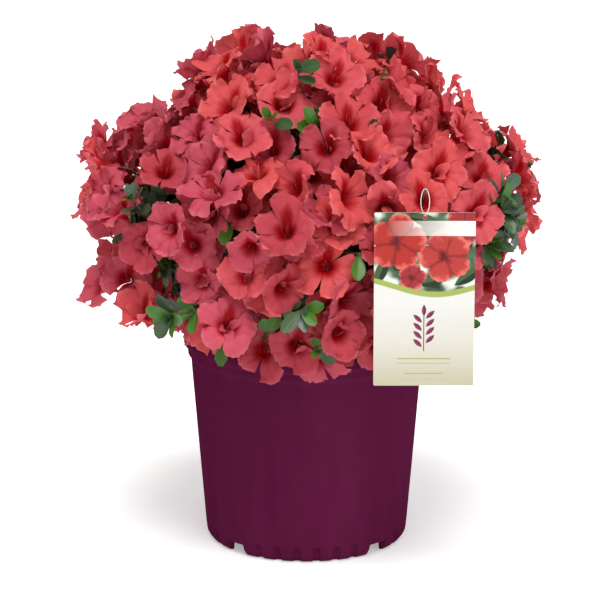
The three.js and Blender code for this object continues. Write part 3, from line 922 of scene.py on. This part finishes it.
def grow_mass(mass, stem):
    """Stem, fork, leading twigs, and a twig from each to its flower or rosette, with their leaves."""
    fork = core_centre(mass)
    grow_twig(bezier(stem, (stem + fork) / 2 + UP * 2, fork, 6), 2.8, 2.3, 7)
    heads = [shoot["head"] for shoot in mass["shoots"] if "head" in shoot]
    for shoot in mass["shoots"]:
        if shoot["leafy"]:
            turn = shoot_turn(shoot, 0)
            place = crown_point(shoot["toward"], shoot["radius"] - 6)
            greens = (FRESH, FRESH, FRESH, MID) if place[2] < LOW_GROWTH else (GREY, MID, MID, FRESH)
            whorl(place, turn, 7, 4, 60, 27, greens, ROSETTE_REACH)
            whorl(place, turn, 3, 5, 22, 17, (greens[0], FRESH, MID), ROSETTE_REACH)
            heads.append((place, turn))
    joints = []
    for place, _ in heads[::4]:
        joint = fork + (place - fork) * 0.5 + random.uniform(-5, 5, 3)
        joints.append(joint)
        path = bezier(fork, (fork + joint) / 2 + random.uniform(-4, 4, 3), joint, 5)
        grow_twig(path, 2.1, 1.7, 6)
        dress_twig(path, 12, 0.1, 1, 32)
    for i, (place, turn) in enumerate(heads):
        joint = min(joints, key=lambda point: np.linalg.norm(point - place))
        bend = place - turn[:, 2] * np.linalg.norm(place - joint) * 0.45
        path = bezier(joint, bend, place + turn[:, 2] * 1.5, 7)
        grow_twig(path, 1.6, 0.9)
        low = place[2] < LOW_GROWTH
        greens = (DARK, MID, MID, FRESH, FRESH) if low else (DARK, DARK, DARK, MID, MID, GREY)
        whorl(place, turn, 6, -2, 66, 26, greens)
        dress_twig(path, 12, 0.1, 0.9, 30)
        if i % BUD_EVERY == 0:
            grow_bud(place, turn)


def trunk_path():
    bends = [(-2, 0, SOIL_TOP), (-1, 0, SOIL_TOP + 40), (TRUNK_LEAN, 0, TRUNK_TOP)]
    return catmull(bends, 14)


def grow_limbs():
    """Trunk, flare, and a bough to each mass's foot. Returns where each mass's stem starts."""
    path = trunk_path()
    sides = 28
    along = np.linspace(0, 1, len(path))
    flare = np.exp(-(path[:, 2] - SOIL_TOP) / FLARE_HEIGHT)
    radii = TRUNK_RADIUS + (TRUNK_TIP - TRUNK_RADIUS) * along + (FLARE_RADIUS - TRUNK_RADIUS) * flare
    points, faces = tube(path, radii, sides)
    centre = path.repeat(sides, axis=0)
    turn = np.arctan2(points[:, 1] - centre[:, 1], points[:, 0] - centre[:, 0])
    low = np.exp(-(points[:, 2] - SOIL_TOP) / 22)
    relief = 1 + 0.04 * np.sin(turn * 7 + points[:, 2] * 0.08) + 0.12 * low * np.sin(turn * 5 + 1.3)
    points = centre + (points - centre) * relief[:, None]
    points[:, 2] = np.maximum(points[:, 2], SOIL_TOP + 0.3)
    limbs.add(points, faces)
    stems = {}
    for mass in MASSES:
        if mass["height"] is None:
            stems[mass["name"]] = path[-1] - UP
            continue
        share = (mass["height"] - SOIL_TOP) / (TRUNK_TOP - SOIL_TOP)
        start = path[round(share * (len(path) - 1))]
        end = crown_point(mass["toward"], crown_radius(mass["toward"]) * BOUGH_SHARE)
        bough = bezier(start, (start + end) / 2 - UP * BOUGH_SAG, end, 16)
        knots = 1 + 0.05 * np.sin(np.arange(len(bough)) * 1.9 + mass["height"])
        limbs.add(*tube(bough, np.linspace(BOUGH_BASE, BOUGH_TIP, len(bough)) * knots, 12))
        stems[mass["name"]] = end
    return stems


def hanging_twig():
    """The twig that the label hangs on runs out to it from the mass behind."""
    way = unit(LABEL_PIVOT - CROWN_CENTRE)
    root = core_centre(nearest_mass(way))
    bend = LABEL_PIVOT + np.array([0, 14, 0])
    path = np.vstack([bezier(root, (root + bend) / 2 + UP * 12, bend, 8), LABEL_PIVOT + np.array([0, -4, 0])])
    twigs.add(*tube(path, [2.2, 2.1, 2.0, 1.9, 1.8, 1.7, 1.6, 1.6, 1.55, 1.5], 8))


plot_shoots()
flower_places, flower_axes = [], []
for crown_mass in MASSES:
    for crown_shoot in crown_mass["shoots"]:
        if not crown_shoot["leafy"]:
            grow_flower(crown_shoot, flower_places, flower_axes)
flower_places, flower_axes = np.array(flower_places), np.array(flower_axes)
stem_starts = grow_limbs()
for crown_mass in MASSES:
    grow_mass(crown_mass, stem_starts[crown_mass["name"]])
hanging_twig()

# deep is a random tone, and petal_look also deals it out low down and on one flank as painted shade
petal_looks = [
    petal_material(f"petal_{name}", linear(*face), linear(*edge), linear(*throat))
    for name, face, edge, throat in (
        ("coral", (214, 87, 95), (222, 111, 115), (164, 0, 14)),
        ("red", (206, 78, 84), (216, 102, 106), (158, 0, 12)),
        ("rose", (196, 79, 96), (204, 100, 112), (154, 0, 20)),
        ("bright", (218, 88, 90), (226, 112, 110), (172, 0, 12)),
        ("deep", (184, 66, 78), (194, 88, 98), (142, 0, 12)),
    )
]
heart_looks = [
    grainy_material("filament", linear(176, 30, 50), 0.5),
    grainy_material("anther", linear(150, 84, 76), 0.7),
]
leaf_looks = [
    leaf_material("leaf_dark", linear(44, 62, 42), linear(70, 90, 62), 0.42),
    leaf_material("leaf_mid", linear(50, 76, 40), linear(80, 106, 60), 0.38),
    leaf_material("leaf_fresh", linear(60, 104, 26), linear(94, 134, 54), 0.36),
    leaf_material("leaf_grey", linear(66, 86, 70), linear(96, 112, 92), 0.34),
]
bark_look = bark_material("bark", linear(128, 104, 84), linear(70, 54, 42), 260)
twig_look = bark_material("twig_bark", linear(104, 78, 56), linear(62, 44, 32), 500)

blossom_nodes = [f"blossom_{mass['name']}" for mass in MASSES]
for part_name, batch in flowers.items():
    flower_piece = batch.piece(f"flowers_{part_name}", petal_looks)
    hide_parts(*blossom_nodes)
hearts.piece("stamens", heart_looks)
buds.piece("buds", petal_looks)
for part_name, batch in leaves.items():
    batch.piece(part_name, leaf_looks)
twigs.piece("twigs", [twig_look])
limb_piece = limbs.piece("limbs", [bark_look])
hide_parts("trunk", *(f"bough_{mass['name']}" for mass in MASSES if mass["height"]))

# ---------------------------------------------------------------- pot

POT_COLUMNS = 768
FOOT_WIDEST, FOOT_TOP = 117, 30  # the profile inside these is pressed into flutes
POT_PROFILE = (
    # radius, height, from the middle of the underside out, up and over the lip to the inside
    (0, 0), (GROOVE[0], 0), (GROOVE[0], DRAIN_HEIGHT), (GROOVE[1], DRAIN_HEIGHT), (GROOVE[1], 0),
    (FOOT_RADIUS, 0), (108.6, 0.8), (110.8, 2.2), (112.4, 4),
    (113.6, 6), (WALL_BOTTOM_RADIUS, FOOT_BEVEL), (114.9, 10), (115.05, 11.5), (115.2, 13), (115.35, 14.5),
    (115.5, 16), (115.65, 17.5), (115.8, 19), (116.0, 21), (116.3, 25),
    (119.5, 64), (123.0, 107), (126.6, 151), (129.6, 188), (131.1, 208), (WALL_TOP_RADIUS + 0.2, 213),
    (132.0, 214.4), (133.6, 215.8), (BAND_RADIUS, 217.4), (135.0, 221), (135.2, 225), (135.8, BAND_TOP + 0.6),
    (138.2, 227.6), (139.2, LIP_BOTTOM), (LIP_RADIUS, 232), (LIP_RADIUS, 237), (138.9, 239.6),
    (137.4, POT_HEIGHT),
    (135.6, POT_HEIGHT), (134.0, 239.8), (133.2, 237), (132.6, 228), (131.2, 219), (129.3, 208),
    (127.0, 180), (0, 180),
)


def pot_mesh():
    """A lathe of the profile, with arched flutes and drain gaps pressed into its foot."""
    batch = Batch()
    angle = np.linspace(0, 2 * math.pi, POT_COLUMNS, endpoint=False)
    pitch = 2 * math.pi / FLUTE_PITCHES
    from_flute = np.abs((angle / pitch) % 1 - 0.5) * pitch * WALL_BOTTOM_RADIUS
    from_diagonal = np.abs((angle / (math.pi / 2)) % 1 - 0.5) * (math.pi / 2)
    from_drain = from_diagonal * WALL_BOTTOM_RADIUS
    has_flute = from_diagonal > pitch
    half = FLUTE_WIDTH / 2
    arch = FLUTE_HEIGHT - half + np.sqrt(np.maximum(half**2 - from_flute**2, 0))
    rings = []
    for radius, height in POT_PROFILE:
        rim = np.full(POT_COLUMNS, float(radius))
        level = np.full(POT_COLUMNS, float(height))
        if FOOT_RADIUS <= radius < FOOT_WIDEST and height < FOOT_TOP:
            in_flute = smooth(half + 0.4, half - 0.6, from_flute) * smooth(arch + 0.6, arch - 0.9, height)
            rim = rim - FLUTE_DEPTH * in_flute * has_flute
        if radius >= GROOVE[1] and height < DRAIN_HEIGHT:
            gap = smooth(DRAIN_WIDTH / 2 + 1, DRAIN_WIDTH / 2 - 1, from_drain)
            level = level + (DRAIN_HEIGHT - level) * gap * 0.97
        rings.append(np.stack([rim * np.cos(angle), rim * np.sin(angle), level], axis=-1))
    batch.add(np.concatenate(rings), grid_faces(len(POT_PROFILE), POT_COLUMNS, closed=True))
    return batch.piece("pot_shell", [pot_material()])


pot = pot_mesh()
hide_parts("pot")

# ---------------------------------------------------------------- soil

CHIPS = 700

def soil_mesh():
    """A rough disc of bark mix with loose chips on it."""
    batch = Batch()
    rings, columns = 26, 96
    angle = np.linspace(0, 2 * math.pi, columns, endpoint=False)
    points = []
    for share in np.linspace(0.02, 1, rings):
        radius = SOIL_RADIUS * share
        bumps = 1.3 * np.sin(angle * 9 + share * 31) * np.sin(share * 47 + angle * 4)
        height = SOIL_TOP - 1.5 + bumps
        points.append(np.stack([radius * np.cos(angle), radius * np.sin(angle), height], axis=-1))
    skirt = points[-1].copy()
    skirt[:, 2] = SOIL_TOP - 12
    points.append(skirt)
    batch.add(np.concatenate(points), grid_faces(rings + 1, columns, closed=True))
    corners = np.array([(x, y, z) for x in (-1, 1) for y in (-1, 1) for z in (-1, 1)])
    faces = [(0, 1, 3, 2), (4, 6, 7, 5), (0, 4, 5, 1), (2, 3, 7, 6), (0, 2, 6, 4), (1, 5, 7, 3)]
    for _ in range(CHIPS):
        turn = random.uniform(0, 360)
        reach = SOIL_RADIUS * math.sqrt(random.uniform(0.03, 0.92))
        place = direction(turn, 0) * reach + UP * (SOIL_TOP + random.uniform(-1.5, 1.0))
        half = random.uniform(1.5, 6, 3) * np.array([1, 0.6, 0.25])
        chip = corners * half * random.uniform(0.75, 1.15, corners.shape)
        chip = place + chip @ turned(random.normal(size=3) * 0.5 + UP, random.uniform(0, 6)).T
        chip[:, 2] = np.minimum(chip[:, 2], SOIL_TOP + 7)
        batch.add(chip, faces, int(random.integers(3)))
    looks = [
        bark_material("bark_mix", linear(84, 62, 46), linear(38, 28, 22), 300),
        bark_material("chip_brown", linear(112, 80, 56), linear(60, 42, 30), 400),
        bark_material("chip_dark", linear(70, 52, 40), linear(34, 26, 22), 400),
    ]
    return batch.piece("potting_mix", looks, smoothed=False)


soil = soil_mesh()
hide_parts("soil")

# ---------------------------------------------------------------- label

CARD_BOW = 1.4  # how far its two long edges curl forward
CARD_COLUMNS, CARD_ROWS = 22, 40
CORNER_STEPS, HOLE_STEPS = 6, 24


class Print(Shader):
    """Flat artwork on the card, in millimetres from its lower left corner."""

    def __init__(self, name):
        super().__init__(name)
        u, v = self.uv()
        self.x = u * LABEL_WIDTH
        self.y = v * LABEL_HEIGHT
        self.ink = None  # what is printed so far

    def away(self, centre, turn):
        """The place seen from a centre, turned."""
        x = self.x - centre[0]
        y = self.y - centre[1]
        cos, sin = math.cos(turn * DEGREE), math.sin(turn * DEGREE)
        along = x * cos + y * sin
        across = y * cos - x * sin
        return along, across

    def over(self, mask, colour):
        self.ink = self.mix(mask, self.ink, colour)

    def leaf(self, centre, length, width, turn, dark, light, edge=3.0):
        """A lens-shaped leaf in two tones."""
        along, across = self.away(centre, turn)
        share = along / (length / 2)
        outline = (1 - share * share) * (width / 2)
        inside = outline - abs(across)
        mask = (inside * edge).clamped()
        tone = self.mix(((across + 0.2) * 4).clamped(), dark, light)
        self.over(mask, tone)

    def blossom(self, centre, radius, turn, deep, face, rim):
        """Five ruffled, veined lobes about a deep throat, the upper one speckled."""
        along, across = self.away(centre, turn)
        square = along * along + across * across
        distance = self.math("SQRT", square)
        angle = self.math("ARCTAN2", across, along)
        lobes = abs(self.math("COSINE", angle * 2.5))
        ruffle = self.math("SINE", angle * 23) * (radius * 0.015)
        outline = self.math("POWER", lobes, 0.5) * (radius * 0.3)
        outline = outline + radius * 0.7 + ruffle
        mask = ((outline - distance) * 2.0).clamped()
        share = distance / radius
        veins = self.noise(1.0, 2.0, self.pair(angle * 7, share * 1.6))
        cloud = self.noise(1.0, 2.0, self.pair(along * 0.09, across * 0.09))
        reach = share + (veins - 0.5) * 0.35
        reach = reach + (cloud - 0.5) * 0.7
        tone = self.ramp(reach, [(0.08, deep), (0.34, face), (0.74, face), (1.0, rim)])
        seam = ((0.42 - lobes).clamped() * 1.5).clamped()
        tone = self.mix(seam, tone, deep)
        dots = self.node("ShaderNodeTexVoronoi")
        dots.inputs["Scale"].default_value = 0.42
        self.put(dots.inputs["Vector"], self.pair(along, across))
        dark = Number(self, dots.outputs["Distance"]) < 0.2
        near_axis = abs(angle) < 0.42
        ring = abs(share - 0.48) < 0.2
        speckle = dark * (near_axis * ring)
        self.over(mask, self.mix(speckle * 0.75, tone, deep))


def card_front():
    """A garden scene in soft focus over a lime wave, with a small sprig on the pale field below."""
    art = Print("label_print")
    deep, rim = linear(92, 6, 16), linear(212, 104, 92)
    orange, coral, rose = linear(160, 38, 30), linear(164, 50, 46), linear(144, 38, 44)
    wine, lime = linear(96, 22, 58), linear(146, 158, 78)
    spread = art.pair(art.x * 0.05, art.y * 0.05)
    blur = art.noise(1.0, 1.0, spread)
    stops = [(0.36, linear(30, 44, 30)), (0.5, linear(74, 96, 70)), (0.64, linear(206, 214, 200))]
    garden = art.ramp(blur, stops)
    wave = art.math("SINE", art.x * 0.036 + 2.4) * 9
    above = art.y - (wave + 104)
    field = [(0.0, linear(172, 166, 141)), (0.5, linear(195, 192, 181)), (0.95, linear(204, 203, 198))]
    art.ink = art.ramp(art.y / 96, field)
    art.over((above * 1.5).clamped(), lime)
    in_scene = ((above - 6) * 1.5).clamped()
    paper = art.ink
    art.ink = garden
    for centre, length, width, turn in (
        ((8, 124), 34, 13, 70), ((52, 178), 34, 13, -12), ((98, 118), 36, 13, 35),
        ((60, 112), 30, 11, 12), ((98, 160), 28, 12, 95), ((36, 124), 30, 11, -30),
    ):
        art.leaf(centre, length, width, turn, linear(22, 42, 26), linear(58, 82, 48), 1.5)
    art.blossom((94, 172), 22, 200, deep, rose, rim)
    art.blossom((24, 154), 31, 80, deep, orange, rim)
    art.blossom((74, 139), 28, 110, deep, coral, rim)
    art.blossom((40, 117), 15, 150, deep, rose, rim)
    art.ink = art.mix(in_scene, paper, art.ink)
    strip = abs(art.y - 169) < 8
    fade = ((art.x - 12) / 90).clamped()
    art.over(strip * fade * 0.92, linear(240, 238, 232))
    for step in range(9):
        side = (step % 2) * 2 - 1
        last = step == 8
        turn = 90 - side * (0 if last else 46)
        spot = (52.5 + side * (0 if last else 6.5), 46 + step * 4.4)
        art.leaf(spot, 13, 5, turn, wine, linear(122, 44, 80))
    stem = abs(art.x - 52.5) < 0.5
    stem_ends = abs(art.y - 58) < 21
    art.over(stem * stem_ends, wine)
    for height, reach, thick in ((29, 28, 0.6), (24, 28, 0.3), (13, 20, 0.5)):
        thin = abs(art.y - height) < thick
        span = abs(art.x - 52.5) < reach
        art.over(thin * span, linear(138, 156, 70))
    art.finish(art.ink, 0.38, 0.25)
    art.bump(art.noise(700, 2.0, art.place()), 0.03, 0.0003)
    return art.material


def round_about(middle, radius, angles):
    return [(middle[0] + radius * math.cos(a), middle[1] + radius * math.sin(a)) for a in angles]


def card_mesh():
    """A slightly bowed card with round corners and a hole, printed on its front."""
    half, low, high = LABEL_WIDTH / 2, -LABEL_HANG - LABEL_HEIGHT, -LABEL_HANG
    hole = (0.0, high - HOLE_DROP)
    outline = []
    for corner, (x, z) in enumerate(((half, low), (half, high), (-half, high), (-half, low))):
        middle = (x - math.copysign(LABEL_CORNER, x), z + (LABEL_CORNER if z == low else -LABEL_CORNER))
        angles = (corner * 90 - 90 + np.arange(CORNER_STEPS) * 18) * DEGREE
        outline += round_about(middle, LABEL_CORNER, angles)
    ring = round_about(hole, HOLE_RADIUS, np.arange(HOLE_STEPS) * math.pi / (HOLE_STEPS / 2))
    inner = [
        (x, z)
        for x in np.linspace(-half, half, CARD_COLUMNS)[1:-1]
        for z in np.linspace(low, high, CARD_ROWS)[1:-1]
        if math.hypot(x - hole[0], z - hole[1]) > HOLE_RADIUS + 1.5
    ]
    loops = len(outline)
    edges = [(i, (i + 1) % loops) for i in range(loops)]
    edges += [(loops + i, loops + (i + 1) % HOLE_STEPS) for i in range(HOLE_STEPS)]
    flat = [Vector(place) for place in (*outline, *ring, *inner)]
    places, _, triangles, *_ = delaunay(flat, edges, [], 1, 1e-4)
    places = np.array([tuple(place) for place in places])
    centres = places[np.array(triangles)].mean(axis=1)
    clear = HOLE_RADIUS * 0.98
    kept = [t for t, c in zip(triangles, centres) if math.hypot(c[0] - hole[0], c[1] - hole[1]) > clear]
    count = len(places)
    bow = -CARD_BOW * (places[:, 0] / half) ** 2
    uv = np.stack([(places[:, 0] + half) / LABEL_WIDTH, (places[:, 1] - low) / LABEL_HEIGHT], axis=-1)
    sides = []
    for depth in (-LABEL_THICKNESS / 2, LABEL_THICKNESS / 2):
        sides.append(np.stack([places[:, 0], bow + depth, places[:, 1]], axis=-1) + LABEL_PIVOT)
    batch = Batch()
    batch.add(sides[0], kept, 0, uv)
    batch.add(sides[1], [tuple(reversed(t)) for t in kept], 1, uv)
    rims = [(a, b, b + count, a + count) for a, b in edges[:loops]]
    rims += [(b, a, a + count, b + count) for a, b in edges[loops:]]
    batch.add(np.concatenate(sides), rims, 1, np.concatenate([uv, uv]))
    looks = [card_front(), grainy_material("card_stock", linear(230, 226, 212), 0.4, 500, 0.05, 0.02)]
    return batch.piece("label_print_card", looks, body="label", smoothed=False)


def thread_mesh():
    """The loop round the twig, down both faces of the card and through its hole."""
    over = PEG_RADIUS + 0.3 + THREAD_RADIUS + 0.2
    web = -LABEL_HANG - HOLE_DROP + HOLE_RADIUS + 0.4
    half = [
        (over, 0, 0),
        (THREAD_SLACK, -0.6, -8),
        (THREAD_SLACK * 0.9, -THREAD_WRAP, web * 0.7),
        (THREAD_SLACK * 0.4, -THREAD_WRAP, web * 0.96),
    ]
    other = [(-x, -y, z) for x, y, z in reversed(half)]
    points = np.array([(0, 0, over), *half, (0, 0, web - THREAD_WRAP), *other]) + LABEL_PIVOT
    path = catmull(points, 12, closed=True)
    batch = Batch()
    batch.add(*tube(path, [THREAD_RADIUS] * len(path), 10, closed=True))
    look = grainy_material("thread", linear(222, 214, 204), 0.6, 2500, 0.4)
    return batch.piece("label_thread", [look], body="label")


card = card_mesh()
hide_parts("label_card")
thread = thread_mesh()
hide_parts("label_loop")

# ---------------------------------------------------------------- stage, light and camera

CAMERA_DISTANCE = 3.2
CAMERA_ELEVATION = 14.3
CAMERA_AIM = (-0.0074, 0.0, 0.2756)
LENS = 169.3
SUNS = (  # name, azimuth, elevation, strength, spread in degrees
    ("key", 270, 66, 2.75, 30),
    ("fill", 300, 24, 0.8, 60),
)
SKY_STRENGTH = 0.55
FLOOR_REACH, FLOOR_WHITE, FLOOR_GLOW = 14.0, 0.84, 0.36


def white_floor():
    mesh = bpy.data.meshes.new("floor")
    corners = [(x * FLOOR_REACH, y * FLOOR_REACH, 0) for x, y in ((-1, -1), (1, -1), (1, 1), (-1, 1))]
    mesh.from_pydata(corners, [], [(0, 1, 2, 3)])
    floor = add_object("floor", mesh)
    look = Shader("floor_white")
    look.finish((FLOOR_WHITE, FLOOR_WHITE, FLOOR_WHITE, 1), 0.9, 0.1)
    look.bsdf.inputs["Emission Color"].default_value = (1, 1, 1, 1)
    look.bsdf.inputs["Emission Strength"].default_value = FLOOR_GLOW
    mesh.materials.append(look.material)


def sun(name, azimuth, elevation, strength, spread):
    data = bpy.data.lights.new(name, "SUN")
    data.energy = strength
    data.angle = spread * DEGREE
    lamp = add_object(name, data)
    lamp.rotation_mode = "QUATERNION"
    lamp.rotation_quaternion = Vector(direction(azimuth, elevation)).to_track_quat("Z", "Y")


white_floor()
for light in SUNS:
    sun(*light)
world = bpy.context.scene.world or bpy.data.worlds.new("studio")
bpy.context.scene.world = world
world.use_nodes = True
sky = world.node_tree.nodes["Background"]
sky.inputs["Color"].default_value = (1, 1, 1, 1)
sky.inputs["Strength"].default_value = SKY_STRENGTH
bpy.context.scene.view_settings.view_transform = "Standard"

camera_data = bpy.data.cameras.new("camera")
camera_data.lens = LENS
camera_data.sensor_width = 36
camera = add_object("camera", camera_data)
tip = CAMERA_ELEVATION * DEGREE
camera.location = (
    CAMERA_AIM[0],
    CAMERA_AIM[1] - CAMERA_DISTANCE * math.cos(tip),
    CAMERA_AIM[2] + CAMERA_DISTANCE * math.sin(tip),
)
camera.rotation_euler = (math.pi / 2 - tip, 0, 0)
bpy.context.scene.camera = camera
